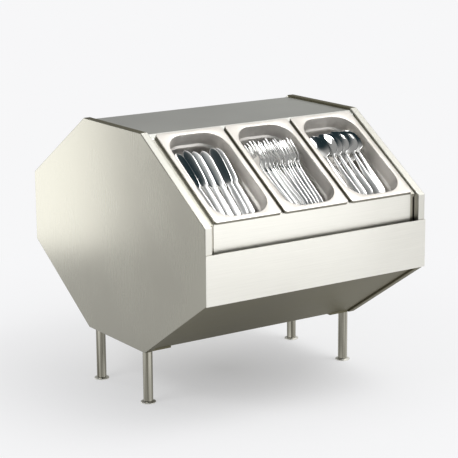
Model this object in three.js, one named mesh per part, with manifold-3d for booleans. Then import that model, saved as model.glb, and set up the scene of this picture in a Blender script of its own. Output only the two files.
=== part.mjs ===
// Waiter service station: an octagonal sheet-steel body on four tube legs, with three lift-out
// cutlery containers on its front slant and one full-width drawer below them.
// Millimetres, +Z up, front towards -Y. The origin is on the floor, under the middle of the whole.

import * as THREE from 'three';
import { mergeVertices } from 'three/addons/utils/BufferGeometryUtils.js';
import Module from 'manifold-3d';

const wasm = await Module();
wasm.setup();

// Clearance between pieces that touch
const FIT = 0.3;

// Cutlery containers: the body is sized around a row of these
const CONTAINER_PLACES = ['left', 'middle', 'right'];
const CONTAINER_LENGTH = 265;
const CONTAINER_WIDTH = 162;
const CONTAINER_DEPTH = 100;
const CONTAINER_SHEET = 1;
const CONTAINER_GAP = 8;
const CONTAINER_MARGIN = 10;
const RIM_WIDTH = 12;
const RIM_DROP = 7;
const RIM_CORNER = 6;
const RIM_EDGE = 1.2;
const RIM_BEARING_WIDTH = 9;
const MOUTH_CORNER = 46;
const MOUTH_EDGE = 2;
const STEP_DEPTH = 30;
const STEP_DROP = 3;
const STEP_WIDTH = 4;
const WALL_LEAN = 1.5;
const LOWER_LEAN = 4;
const FLOOR_RADIUS = 16;
const CORNER_STEPS = 6;
const FLOOR_STEPS = 3;

// Body of folded sheet
const TOP_DEPTH = 237;
const SLANT_ANGLE = THREE.MathUtils.degToRad(33.2);
const SIDE_RISE = 158;
const LEG_HEIGHT = 117;
const SHEET = 1.5;
const BEND_RADIUS = 2.5;
const BEND_STEPS = 3;
const FLANGE = 17;
const LIP = 14;
const SIDE_STRIP = 12;
const SKIN_RECESS = 4.5;
const SEAM_TURN = 15;
const SEAM_GAP = 0.5;
const EDGE_TURN = 12;
const BASE_TURN = 22;
const BEARER_TURN = 14;

// Fascia under the containers
const FASCIA_RECESS = 14;
const FASCIA_LAP = 10;
const REVEAL = 1.2;

// Legs and feet
const LEG_DIAMETER = 21.3;
const LEG_WALL = 2;
const LEG_SETBACK = 18.5;
const LEG_INSET = 1.4;
const LEG_PLATE_WIDTH = 50;
const LEG_PLATE_DEPTH = 32;
const FOOT_DIAMETER = 33;
const FOOT_EDGE = 2.4;
const FOOT_HEIGHT = 4;
const SPIGOT_LENGTH = 16;
const CHANNEL_WIDTH = 30;
const CHANNEL_HEIGHT = 20;
const ROUND_STEPS = 28;

// Drawer and its runners
const DRAWER_FRONT_HEIGHT = 104;
const DRAWER_PLATE = 2;
const DRAWER_TRAVEL = 300;
const TRAY_LENGTH = 440;
const TRAY_RISE = 8;
const TRAY_CLEARANCE = 14;
const TRAY_HEM = 6;
const PULL_GAP = 17;
const HEM_HEIGHT = 8;
const RUNNER_HEIGHT = 34;
const RUNNER_DEPTH = 11;
const BRACKET_SHEET = 2;
const BRACKET_HEIGHT = 44;
const RAIL_SHEET = 3;
const RAIL_HEIGHT = 22;
const GLIDE_LENGTH = 30;
const STOP_HEIGHT = 3;
const STOP_LENGTH = 2;
const STOP_CLEARANCE = 2;
const BUMPER_DIAMETER = 10;
const BUMPER_INSET = 16;

// Sizes worked out from the ones above
const containerCount = CONTAINER_PLACES.length;
const rowWidth = containerCount * CONTAINER_WIDTH + (containerCount - 1) * CONTAINER_GAP;
const bodyWidth = rowWidth + 2 * (SIDE_STRIP + FLANGE);
const slantLength = CONTAINER_LENGTH + 2 * CONTAINER_MARGIN;
const slantRise = slantLength * Math.sin(SLANT_ANGLE);
const slantRun = slantLength * Math.cos(SLANT_ANGLE);
const bodyDepth = TOP_DEPTH + 2 * slantRun;
const baseZ = LEG_HEIGHT;
const lowZ = baseZ + slantRise;
const highZ = lowZ + SIDE_RISE;
const topZ = highZ + slantRise;
const lipX = bodyWidth / 2 - FLANGE;
const skinX = lipX - FIT;
const frontY = -bodyDepth / 2;
const fasciaY = frontY + FASCIA_RECESS;
const rimHeight = RIM_DROP + FIT - SKIN_RECESS;

// Materials
const SATIN = { color: 0xc9c8c0, roughness: 0.38, metalness: 0.95 };
const POLISHED = { color: 0xdcdcd8, roughness: 0.2, metalness: 0.95 };
const GALVANISED = { color: 0xa9acad, roughness: 0.5, metalness: 0.9 };
const NYLON = { color: 0xe6e3d8, roughness: 0.55, metalness: 0 };
const RUBBER = { color: 0x2a2a2a, roughness: 0.85, metalness: 0 };

const station = new THREE.Group();
station.name = 'waiter_service_station';

function piece(parent, name, geometry, finish) {
  const mesh = new THREE.Mesh(geometry, new THREE.MeshStandardMaterial(finish));
  mesh.name = name;
  parent.add(mesh);
  return mesh;
}

function solid(geometry) {
  const bare = geometry.clone();
  bare.deleteAttribute('normal');
  bare.deleteAttribute('uv');
  const merged = mergeVertices(bare, 1e-4);
  const vertProperties = new Float32Array(merged.attributes.position.array);
  const triVerts = new Uint32Array(merged.index.array);
  return new wasm.Manifold(new wasm.Mesh({ numProp: 3, vertProperties, triVerts }));
}

function geometryOf(manifold) {
  const mesh = manifold.getMesh();
  const geometry = new THREE.BufferGeometry();
  geometry.setAttribute('position', new THREE.BufferAttribute(mesh.vertProperties, 3));
  geometry.setIndex(new THREE.BufferAttribute(mesh.triVerts, 1));
  geometry.computeVertexNormals();
  return geometry;
}

function cut(base, ...tools) {
  return geometryOf(tools.reduce((body, tool) => body.subtract(solid(tool)), solid(base)));
}

function join(base, ...extras) {
  return geometryOf(extras.reduce((body, extra) => body.add(solid(extra)), solid(base)));
}

// A left-hand copy: the mirror turns the faces inside out, so their order is turned back.
function mirrored(geometry) {
  const copy = geometry.clone().scale(-1, 1, 1);
  const order = copy.index.array;
  for (let corner = 0; corner < order.length; corner += 3) {
    [order[corner], order[corner + 1]] = [order[corner + 1], order[corner]];
  }
  copy.computeVertexNormals();
  return copy;
}

function box(low, high) {
  const size = high.map((value, axis) => value - low[axis]);
  const middle = high.map((value, axis) => (value + low[axis]) / 2);
  return new THREE.BoxGeometry(...size).translate(...middle);
}

const AXIS_X = new THREE.Vector3(1, 0, 0);
const AXIS_Y = new THREE.Vector3(0, 1, 0);
const AXIS_Z = new THREE.Vector3(0, 0, 1);

// Extrudes a profile drawn in (y, z) from one x to another.
function alongX(profile, from, to) {
  const geometry = new THREE.ExtrudeGeometry(profile, { depth: to - from, bevelEnabled: false });
  geometry.translate(0, 0, from);
  return geometry.applyMatrix4(new THREE.Matrix4().makeBasis(AXIS_Y, AXIS_Z, AXIS_X));
}

// Extrudes a profile drawn in (x, z) from one y to another.
function alongY(profile, from, to) {
  const geometry = new THREE.ExtrudeGeometry(profile, { depth: to - from, bevelEnabled: false });
  geometry.applyMatrix4(new THREE.Matrix4().makeBasis(AXIS_X, AXIS_Z, AXIS_Y.clone().negate()));
  return geometry.translate(0, to, 0);
}

// A round solid from a closed (radius, z) profile, drawn counterclockwise.
function turned(profile, x, y) {
  const points = profile.map(([radius, z]) => new THREE.Vector2(radius, z));
  return new THREE.LatheGeometry(points, ROUND_STEPS).rotateX(Math.PI / 2).translate(x, y, 0);
}

// The outline of the body in (y, z), counterclockwise from the front of the base, moved inwards.
function octagon(inset) {
  const half = TOP_DEPTH / 2;
  const corners = [
    [-half, baseZ],
    [half, baseZ],
    [bodyDepth / 2, lowZ],
    [bodyDepth / 2, highZ],
    [half, topZ],
    [-half, topZ],
    [frontY, highZ],
    [frontY, lowZ],
  ].map(([y, z]) => new THREE.Vector2(y, z));
  return corners.map((corner, index) => {
    const before = corners[(index + corners.length - 1) % corners.length];
    const after = corners[(index + 1) % corners.length];
    const inA = leftOf(corner.clone().sub(before).normalize());
    const inB = leftOf(after.clone().sub(corner).normalize());
    const shift = inA.clone().add(inB).multiplyScalar(inset / (1 + inA.dot(inB)));
    return corner.clone().add(shift);
  });
}

function leftOf(direction) {
  return new THREE.Vector2(-direction.y, direction.x);
}

// The point a given distance from one corner towards another.
function towards(from, to, distance) {
  return from.clone().add(to.clone().sub(from).setLength(distance));
}

// The section of a bent sheet. The path is its outer face, the sheet lies to the left of the
// path, and every bend of the path is rounded.
function foldedSheet(path, thickness = SHEET) {
  const faces = [];
  path.forEach((point, index) => {
    const into = index > 0 ? point.clone().sub(path[index - 1]).normalize() : null;
    const out = index < path.length - 1 ? path[index + 1].clone().sub(point).normalize() : null;
    if (!into || !out) {
      faces.push({ point, left: leftOf(into || out) });
      return;
    }
    const turn = Math.atan2(into.cross(out), into.dot(out));
    const setback = BEND_RADIUS * Math.tan(Math.abs(turn) / 2);
    const start = point.clone().addScaledVector(into, -setback);
    const side = Math.sign(turn);
    const centre = start.clone().addScaledVector(leftOf(into), side * BEND_RADIUS);
    for (let step = 0; step <= BEND_STEPS; step += 1) {
      const left = leftOf(into).rotateAround(new THREE.Vector2(), (turn * step) / BEND_STEPS);
      faces.push({ point: centre.clone().addScaledVector(left, -side * BEND_RADIUS), left });
    }
  });
  const inner = faces.map(({ point, left }) => point.clone().addScaledVector(left, thickness));
  return new THREE.Shape([...faces.map(({ point }) => point), ...inner.reverse()]);
}

// Side panels: an octagonal pan with inward flanges and a return lip all round
function sidePanel(side) {
  const outer = alongX(new THREE.Shape(octagon(0)), lipX, bodyWidth / 2);
  const hollow = alongX(new THREE.Shape(octagon(SHEET)), lipX + SHEET, bodyWidth / 2 - SHEET);
  const mouth = alongX(new THREE.Shape(octagon(LIP)), lipX - SHEET, lipX + 2 * SHEET);
  const pan = cut(outer, hollow, mouth);
  return side < 0 ? mirrored(pan) : pan;
}

piece(station, 'side_panel_left', sidePanel(-1), SATIN);
piece(station, 'side_panel_right', sidePanel(1), SATIN);

// Skins between the side panels, set back from the flanges and butting on their lips
const skin = octagon(SKIN_RECESS);
const [baseFront, baseRear, rearLow, rearHigh, topRear, topFront, frontHigh, frontLow] = skin;
const ledgeEnd = CONTAINER_MARGIN + RIM_BEARING_WIDTH;
const slope = frontHigh.clone().sub(topFront).normalize();
const inwards = leftOf(slope);
const slantTop = octagon(0)[5].clone().addScaledVector(inwards, SKIN_RECESS);

function onSlant(distance, depth = 0) {
  return slantTop.clone().addScaledVector(slope, distance).addScaledVector(inwards, depth);
}

function topPanel() {
  const path = [
    towards(topRear, rearHigh, SEAM_TURN),
    topRear,
    topFront,
    onSlant(ledgeEnd),
    onSlant(ledgeEnd, EDGE_TURN),
  ];
  return alongX(foldedSheet(path), -skinX, skinX);
}

function rearPanel() {
  const path = [
    towards(baseRear, rearLow, SEAM_TURN + SEAM_GAP),
    rearLow,
    rearHigh,
    towards(topRear, rearHigh, SEAM_TURN + SEAM_GAP),
  ];
  return alongX(foldedSheet(path), -skinX, skinX);
}

function basePanel() {
  const path = [
    frontLow.clone().add(new THREE.Vector2(BASE_TURN, 0)),
    frontLow,
    baseFront,
    baseRear,
    towards(baseRear, rearLow, SEAM_TURN),
  ];
  return alongX(foldedSheet(path), -skinX, skinX);
}

piece(station, 'top_panel', topPanel(), SATIN);
piece(station, 'rear_panel', rearPanel(), SATIN);
piece(station, 'base_panel', basePanel(), SATIN);

// Front fascia: its top turns back under the container rims, its foot hangs behind the drawer front
const drawerTopZ = lowZ + DRAWER_FRONT_HEIGHT;
function fascia() {
  const ledgeStart = slantLength - ledgeEnd;
  const bendDistance = (slantTop.x - fasciaY) / -slope.x;
  const foot = drawerTopZ - FASCIA_LAP;
  const path = [
    onSlant(ledgeStart, EDGE_TURN),
    onSlant(ledgeStart),
    onSlant(bendDistance),
    new THREE.Vector2(fasciaY, foot),
    new THREE.Vector2(fasciaY + EDGE_TURN, foot),
  ];
  return alongX(foldedSheet(path), -rowWidth / 2, rowWidth / 2);
}
piece(station, 'front_fascia', fascia(), SATIN);

// Everything on the slant hangs in a group whose x-y plane is the outer face of the slant
const slantMiddle = octagon(0)[5].clone().add(octagon(0)[6]).multiplyScalar(0.5);
const deck = new THREE.Group();
deck.position.set(0, slantMiddle.x, slantMiddle.y);
deck.rotation.x = SLANT_ANGLE;
station.add(deck);

const barRear = slantLength / 2 - ledgeEnd - FIT;
const barFront = -slantLength / 2 + ledgeEnd + FIT;
const pitch = CONTAINER_WIDTH + CONTAINER_GAP;

function dividerBar() {
  const half = CONTAINER_GAP / 2 + RIM_BEARING_WIDTH;
  const foot = -SKIN_RECESS - BEARER_TURN;
  const path = [
    new THREE.Vector2(half, foot),
    new THREE.Vector2(half, -SKIN_RECESS),
    new THREE.Vector2(-half, -SKIN_RECESS),
    new THREE.Vector2(-half, foot),
  ];
  return alongY(foldedSheet(path), barFront, barRear);
}

for (let index = 1; index < containerCount; index += 1) {
  const bar = piece(deck, `divider_bar_${index}`, dividerBar(), SATIN);
  bar.position.x = (index - containerCount / 2) * pitch;
}

// A side bearer is an angle on the side panel's lip. Beside the fascia only its outer strip runs on.
function sideBearer(side) {
  const inner = rowWidth / 2 - RIM_BEARING_WIDTH;
  const noseEnd = -slantLength / 2 + CONTAINER_MARGIN;
  const path = [
    new THREE.Vector2(skinX, -SKIN_RECESS - BEARER_TURN),
    new THREE.Vector2(skinX, -SKIN_RECESS),
    new THREE.Vector2(inner, -SKIN_RECESS),
  ];
  const angle = alongY(foldedSheet(path), noseEnd, barRear);
  const notch = box(
    [inner - SHEET, noseEnd - SHEET, -SKIN_RECESS - 2 * SHEET],
    [rowWidth / 2 + FIT, barFront, -SKIN_RECESS + SHEET],
  );
  const bearer = cut(angle, notch);
  return side < 0 ? mirrored(bearer) : bearer;
}

piece(deck, 'side_bearer_left', sideBearer(-1), SATIN);
piece(deck, 'side_bearer_right', sideBearer(1), SATIN);

// A rectangle with round corners, as a ring of points at one height
function roundedRing(inset, corner, z) {
  const halfX = CONTAINER_WIDTH / 2 - inset;
  const halfY = CONTAINER_LENGTH / 2 - inset;
  const ring = [];
  [[1, 1], [-1, 1], [-1, -1], [1, -1]].forEach(([signX, signY], quarter) => {
    for (let step = 0; step <= CORNER_STEPS; step += 1) {
      const angle = ((quarter + step / CORNER_STEPS) * Math.PI) / 2;
      const x = signX * (halfX - corner) + corner * Math.cos(angle);
      const y = signY * (halfY - corner) + corner * Math.sin(angle);
      ring.push([x, y, z]);
    }
  });
  return ring;
}

// A closed solid from rings of equal length, with a flat fan on the first and the last ring.
function loft(rings) {
  const count = rings[0].length;
  const positions = rings.flat(2);
  const index = [];
  for (let level = 0; level < rings.length - 1; level += 1) {
    for (let step = 0; step < count; step += 1) {
      const a = level * count + step;
      const b = level * count + ((step + 1) % count);
      index.push(a, b, b + count, a, b + count, a + count);
    }
  }
  const last = (rings.length - 1) * count;
  for (let step = 1; step < count - 1; step += 1) {
    index.push(0, step + 1, step);
    index.push(last, last + step, last + step + 1);
  }
  const geometry = new THREE.BufferGeometry();
  geometry.setAttribute('position', new THREE.Float32BufferAttribute(positions, 3));
  geometry.setIndex(index);
  geometry.computeVertexNormals();
  return geometry;
}

// A drawn container: flat rim with a turned-down edge, wide corner rounds, a stacking step and a
// rounded floor. The rings run over the outer skin from the floor to the rim and back inside.
function container() {
  const sheet = CONTAINER_SHEET;
  const stepFoot = STEP_DEPTH + STEP_DROP;
  const upper = RIM_WIDTH + WALL_LEAN;
  const lower = upper + STEP_WIDTH;
  const floorSide = lower + LOWER_LEAN;
  const corner = MOUTH_CORNER;
  const inside = [
    [RIM_WIDTH - MOUTH_EDGE, corner + MOUTH_EDGE, 0],
    [RIM_WIDTH, corner, -MOUTH_EDGE],
    [upper, corner, -STEP_DEPTH],
    [lower, corner - STEP_WIDTH, -stepFoot],
  ];
  for (let step = 0; step <= FLOOR_STEPS; step += 1) {
    const angle = (step / FLOOR_STEPS) * (Math.PI / 2);
    const inset = floorSide + FLOOR_RADIUS * (1 - Math.cos(angle));
    const drop = CONTAINER_DEPTH - FLOOR_RADIUS * (1 - Math.sin(angle));
    inside.push([inset, corner - inset + upper, -drop]);
  }
  const outside = inside.map(([inset, round, z], place) => {
    const flat = place === 0 || place === inside.length - 1;
    return flat ? [inset, round, z - sheet] : [inset - sheet, round + sheet, z - sheet / 2];
  });
  const edge = [
    [sheet, RIM_CORNER - sheet, -sheet],
    [sheet, RIM_CORNER - sheet, -RIM_DROP],
    [0, RIM_CORNER, -RIM_DROP],
    [0, RIM_CORNER, -RIM_EDGE],
    [RIM_EDGE, RIM_CORNER - RIM_EDGE, 0],
  ];
  const rings = [...outside.reverse(), ...edge, ...inside];
  return loft(rings.map(([inset, round, z]) => roundedRing(inset, round, z + rimHeight)));
}

CONTAINER_PLACES.forEach((place, index) => {
  const pan = piece(deck, `container_${place}`, container(), POLISHED);
  pan.position.x = (index - (containerCount - 1) / 2) * pitch;
});

// Legs, their mounting plates and feet
const legX = lipX - LEG_INSET;
const legY = TOP_DEPTH / 2 - LEG_SETBACK;
const skinBaseZ = baseZ + SKIN_RECESS;

function legPlate(sideX, sideY) {
  const edges = [sideX * skinX, sideX * (skinX - LEG_PLATE_WIDTH)].sort((a, b) => a - b);
  const middle = sideY * legY;
  return box(
    [edges[0], middle - LEG_PLATE_DEPTH / 2, baseZ],
    [edges[1], middle + LEG_PLATE_DEPTH / 2, skinBaseZ - FIT],
  );
}

function legTube(x, y) {
  const outer = LEG_DIAMETER / 2;
  const inner = outer - LEG_WALL;
  const foot = FOOT_HEIGHT + FIT;
  const head = baseZ - FIT;
  return turned([[inner, foot], [outer, foot], [outer, head], [inner, head], [inner, foot]], x, y);
}

function legFoot(x, y) {
  const outer = FOOT_DIAMETER / 2;
  const neck = LEG_DIAMETER / 2;
  const spigot = neck - LEG_WALL - FIT;
  const top = FOOT_HEIGHT + SPIGOT_LENGTH;
  const profile = [
    [0, 0],
    [outer - FIT, 0],
    [outer, FIT],
    [outer, FOOT_EDGE],
    [neck, FOOT_HEIGHT],
    [spigot, FOOT_HEIGHT],
    [spigot, top],
    [0, top],
  ];
  return turned(profile, x, y);
}

[['front', -1], ['rear', 1]].forEach(([end, sideY]) => {
  [['left', -1], ['right', 1]].forEach(([side, sideX]) => {
    const x = sideX * legX;
    const y = sideY * legY;
    piece(station, `leg_plate_${end}_${side}`, legPlate(sideX, sideY), SATIN);
    piece(station, `leg_${end}_${side}`, legTube(x, y), POLISHED);
    piece(station, `foot_${end}_${side}`, legFoot(x, y), POLISHED);
  });
  piece(station, `base_channel_${end}`, baseChannel(sideY * legY), GALVANISED);
});

// A channel across the inside of the base, over a pair of legs
function baseChannel(y) {
  const half = CHANNEL_WIDTH / 2;
  const floor = skinBaseZ + SHEET + FIT;
  const path = [
    new THREE.Vector2(y + half, floor),
    new THREE.Vector2(y + half, floor + CHANNEL_HEIGHT),
    new THREE.Vector2(y - half, floor + CHANNEL_HEIGHT),
    new THREE.Vector2(y - half, floor),
  ];
  return alongX(foldedSheet(path), -skinX, skinX);
}

// Drawer: the tray stops a clearance below the lowest corner of the containers
const panCorner = onSlant(slantLength - CONTAINER_MARGIN - RIM_WIDTH - LOWER_LEAN, CONTAINER_DEPTH);
const trayBottomZ = lowZ + TRAY_RISE;
const trayTopZ = panCorner.y - TRAY_CLEARANCE;
const plateBackY = frontY - REVEAL;
const trayFrontY = plateBackY + PULL_GAP;
const trayRearY = trayFrontY + TRAY_LENGTH;
const runnerZ = (trayBottomZ + trayTopZ) / 2;
const bracketX = skinX - BRACKET_SHEET;
const runnerX = bracketX - FIT;
const railX = runnerX - RUNNER_DEPTH - FIT;
const trayX = railX - RAIL_SHEET + SHEET;

function runnerBracket(side) {
  const x = [side * bracketX, side * skinX].sort((a, b) => a - b);
  const front = frontY + 2 * SHEET;
  const rear = bodyDepth / 2 - SKIN_RECESS - SHEET - FIT;
  return box(
    [x[0], front, runnerZ - BRACKET_HEIGHT / 2],
    [x[1], rear, runnerZ + BRACKET_HEIGHT / 2],
  );
}

// A C channel open towards the drawer, with two stop tabs at its front end
function runner(side) {
  const half = RUNNER_HEIGHT / 2;
  const low = runnerZ - half;
  const high = runnerZ + half;
  const mouthX = runnerX - RUNNER_DEPTH;
  const path = [
    new THREE.Vector2(mouthX, low),
    new THREE.Vector2(runnerX, low),
    new THREE.Vector2(runnerX, high),
    new THREE.Vector2(mouthX, high),
  ];
  const channel = alongY(foldedSheet(path), trayFrontY, trayRearY);
  const tabs = [
    [low + SHEET / 2, low + SHEET + STOP_HEIGHT],
    [high - SHEET - STOP_HEIGHT, high - SHEET / 2],
  ].map(([from, to]) => box(
    [mouthX + SHEET, trayFrontY, from],
    [runnerX - SHEET / 2, trayFrontY + STOP_LENGTH, to],
  ));
  const whole = join(channel, ...tabs);
  return side < 0 ? mirrored(whole) : whole;
}

function drawerTray() {
  const low = [-trayX, trayFrontY, trayBottomZ];
  const high = [trayX, trayRearY, trayTopZ];
  const inside = box(
    [low[0] + SHEET, low[1] + SHEET, low[2] + SHEET],
    [high[0] - SHEET, high[1] - SHEET, high[2] - SHEET],
  );
  const mouth = box(
    [low[0] + TRAY_HEM, low[1] + TRAY_HEM, high[2] - 2 * SHEET],
    [high[0] - TRAY_HEM, high[1] - TRAY_HEM, high[2] + SHEET],
  );
  return cut(box(low, high), inside, mouth);
}

// The drawer's front plate lies over the side flanges. Behind it a shelf and two cheeks reach
// back to the tray, and leave a pocket behind the top edge for the fingers.
function drawerFront() {
  const face = plateBackY - DRAWER_PLATE;
  const overlap = DRAWER_PLATE / 2;
  const plate = box([-bodyWidth / 2, face, lowZ], [bodyWidth / 2, plateBackY, drawerTopZ]);
  const hem = box(
    [-trayX, plateBackY - overlap, drawerTopZ - HEM_HEIGHT],
    [trayX, plateBackY + SHEET, drawerTopZ],
  );
  const shelf = box(
    [-trayX, plateBackY - overlap, trayBottomZ - FIT - SHEET],
    [trayX, trayFrontY + EDGE_TURN, trayBottomZ - FIT],
  );
  const cheeks = [-1, 1].map((side) => {
    const x = [side * trayX, side * (trayX - SHEET)].sort((a, b) => a - b);
    return box(
      [x[0], plateBackY - overlap, trayBottomZ - FIT - SHEET],
      [x[1], trayFrontY - FIT, trayTopZ],
    );
  });
  return join(plate, hem, shelf, ...cheeks);
}

function slideRail(side) {
  const x = [side * (trayX + FIT), side * (trayX + FIT + RAIL_SHEET)].sort((a, b) => a - b);
  return box(
    [x[0], trayFrontY, runnerZ - RAIL_HEIGHT / 2],
    [x[1], trayRearY, runnerZ + RAIL_HEIGHT / 2],
  );
}

// A nylon shoe on the rail fills the runner's channel
function glide(side, frontEdge) {
  const inner = trayX + RAIL_SHEET + 2 * FIT;
  const outer = runnerX - BEND_RADIUS;
  const x = [side * inner, side * outer].sort((a, b) => a - b);
  const half = RUNNER_HEIGHT / 2 - SHEET - FIT;
  return box(
    [x[0], frontEdge, runnerZ - half],
    [x[1], frontEdge + GLIDE_LENGTH, runnerZ + half],
  );
}

function bumper(side, z) {
  const thickness = REVEAL - 2 * FIT;
  const round = new THREE.CylinderGeometry(BUMPER_DIAMETER / 2, BUMPER_DIAMETER / 2, thickness, ROUND_STEPS);
  return round.translate(side * (bodyWidth / 2 - FLANGE / 2), frontY - REVEAL / 2, z);
}

piece(station, 'drawer_tray', drawerTray(), SATIN);
piece(station, 'drawer_front', drawerFront(), SATIN);

const glideFronts = {
  front: trayFrontY + STOP_LENGTH + STOP_CLEARANCE + DRAWER_TRAVEL,
  rear: trayRearY - GLIDE_LENGTH,
};
[['left', -1], ['right', 1]].forEach(([name, side]) => {
  piece(station, `runner_bracket_${name}`, runnerBracket(side), GALVANISED);
  piece(station, `runner_${name}`, runner(side), GALVANISED);
  piece(station, `slide_rail_${name}`, slideRail(side), GALVANISED);
  Object.entries(glideFronts).forEach(([end, frontEdge]) => {
    piece(station, `glide_${end}_${name}`, glide(side, frontEdge), NYLON);
  });
  piece(station, `bumper_upper_${name}`, bumper(side, drawerTopZ - BUMPER_INSET), RUBBER);
  piece(station, `bumper_lower_${name}`, bumper(side, lowZ + BUMPER_INSET), RUBBER);
});

// The drawer front stands proud of the body, so the whole moves back by half of that
station.position.y = (REVEAL + DRAWER_PLATE) / 2;

export default station;
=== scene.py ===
"""Looks of the waiter service station: satin steel body, drawn containers and the cutlery in them.

Lengths are in millimetres up to mesh_piece(), which turns them into the frame's metres. The faces
of a shape are one run of corner numbers and the number of corners of each face.
"""

import math
from collections import namedtuple

import bpy
import numpy as np
from mathutils import Matrix, Vector


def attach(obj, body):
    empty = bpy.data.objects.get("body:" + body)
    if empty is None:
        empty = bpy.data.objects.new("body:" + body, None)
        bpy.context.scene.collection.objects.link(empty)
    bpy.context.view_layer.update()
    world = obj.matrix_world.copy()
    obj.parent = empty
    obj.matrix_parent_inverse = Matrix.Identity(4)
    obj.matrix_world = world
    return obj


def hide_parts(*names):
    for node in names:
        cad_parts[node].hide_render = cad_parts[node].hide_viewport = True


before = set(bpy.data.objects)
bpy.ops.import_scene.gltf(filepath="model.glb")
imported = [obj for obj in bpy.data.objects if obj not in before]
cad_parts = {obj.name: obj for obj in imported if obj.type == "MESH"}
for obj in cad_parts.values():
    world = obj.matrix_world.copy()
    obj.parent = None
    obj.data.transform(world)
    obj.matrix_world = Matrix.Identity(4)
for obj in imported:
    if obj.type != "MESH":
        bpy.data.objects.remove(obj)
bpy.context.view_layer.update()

# Body, as in the part's source. SHIFT_Y is the part's own shift back by half the drawer front.
SHIFT_Y = 1.6
TOP_DEPTH = 237.0
SLANT_ANGLE = math.radians(33.2)
SLANT_LENGTH = 285.0
SIDE_RISE = 158.0
LEG_HEIGHT = 117.0
BODY_WIDTH = 560.0

# Side panels. SKIN_INSET is where the flat skin starts, well inside the octagon's edges.
FLANGE = 17.0
LIP = 14.0
SHEET = 1.5
BEND_RADIUS = 1.6
BEND_STEPS = 5
BEND_MARGIN = 0.5
SKIN_INSET = 60.0
SKIN_ROWS = 5

# Containers: rim
PLACES = {"left": -170.0, "middle": 0.0, "right": 170.0}
RIM_LENGTH = 265.0
RIM_WIDTH = 162.0
RIM_TOP = 2.8
RIM_FLAT = 10.0
RIM_CORNER = 6.0
RIM_EDGE_ROUND = 1.2
RIM_EDGE_STEPS = 5

# Containers: wall in section, as (inset from the rim, depth) at the end of each stretch
CONTAINER_SHEET = 1.0
CONTAINER_DEPTH = 100.0
MOUTH_ROUND = 2.0
MOUTH_STEPS = 5
MOUTH_END = np.array([RIM_FLAT + MOUTH_ROUND, MOUTH_ROUND])
UPPER_END = np.array([13.5, 28.0])
STEP_END = np.array([17.5, 34.0])
LOWER_END = np.array([21.5, 84.0])
FLOOR_ROUND = 16.0
WALL_CORNER = 46.0

# The turned-down edge of a rim, inside to outside, as inset, corner radius and depth
RIM_HEM = np.array(
    [[1.0, 5.0, 1.0], [1.0, 5.0, 6.7], [0.7, 5.3, 7.0], [0.3, 5.7, 7.0], [0.0, 6.0, 6.7]]
)

# Strips beside the fascia, as distances from the part's middle and heights above the floor
STRIP_WEB = 252.2
STRIP_REACH = 269.0
STRIP_BACK = -332.0
STRIP_FACE = -340.0
STRIP_LOW = 369.0
STRIP_HIGH = 431.0
STRIP_SHEET = 1.2
STRIP_CHAMFER = 0.3
STRIP_RINGS = 5

# Cutlery: the handle ends' reach across the slant and place along it, for each row from the top
# down, the last one also for the rows below it
EVEN_ROWS = [(45.0, -97.0)]
FORK_ROWS = [(40.0, -104.0), (44.0, -72.0), (44.0, -92.0)]
TOP_ROW_SLOPE = math.radians(7)
TOP_ROW_HEIGHT = 60.0
LOWEST_ROW_HEIGHT = 0.3
KNIFE_STRETCH = 0.87
FORK_STRETCH = 0.89
SPOON_STRETCH = 0.89

# Cutlery: slips of each copy, in radians and millimetres, and its room at the walls
FAN_SLIP = 0.025
LIFT_SLIP = 0.012
LEAN_SLIP = 0.3
END_SLIP = 7.0
TIP_CLEARANCE = 1.0
WALL_CLEARANCE = 0.4
WALL_MOVE = 6.0
WALL_MOVE_GAIN = 1.5

# Legs and feet
LEG_X = 261.6
LEG_Y = 100.0
LEG_RADIUS = 10.65
LEG_WALL = 2.0
LEG_GAP = 0.3
TUBE_EDGE = 0.4
FOOT_RADIUS = 16.5
FOOT_HEIGHT = 4.0
FOOT_EDGE = 0.5
FOOT_SHOULDER = 1.1
SPIGOT_LENGTH = 15.0
SPIGOT_TAPER = 1.0
AXIS_RADIUS = 0.01

# Camera that matches the picture, as millimetres and degrees
CAMERA_AZIMUTH = -33.9
CAMERA_ELEVATION = 13.3
CAMERA_ROLL = -0.4
CAMERA_DISTANCE = 3816.3
CAMERA_RIGHT = 11.2
CAMERA_UP = 316.1
CAMERA_LENS = 132.1


def place_camera():
    """Puts the camera on a sphere round the foot of the station, then moves it sideways and up."""
    a, e, r = (math.radians(v) for v in (CAMERA_AZIMUTH, CAMERA_ELEVATION, CAMERA_ROLL))
    back = Vector((math.sin(a) * math.cos(e), -math.cos(a) * math.cos(e), math.sin(e)))
    right = Vector((math.cos(a), math.sin(a), 0))
    up = back.cross(right)
    turned_right = right * math.cos(r) + up * math.sin(r)
    turned_up = up * math.cos(r) - right * math.sin(r)
    spot = back * CAMERA_DISTANCE + turned_right * CAMERA_RIGHT + turned_up * CAMERA_UP
    data = bpy.data.cameras.new("camera")
    data.lens = CAMERA_LENS
    data.sensor_width = 36
    data.clip_end = 100
    camera = bpy.data.objects.new("camera", data)
    bpy.context.scene.collection.objects.link(camera)
    axes = Matrix((turned_right, turned_up, back)).transposed().to_4x4()
    camera.matrix_world = Matrix.Translation((spot + Vector((0, SHIFT_Y, 0))) / 1000) @ axes
    bpy.context.scene.camera = camera


place_camera()


# Finishes, some with light and shade painted into their tone


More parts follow.
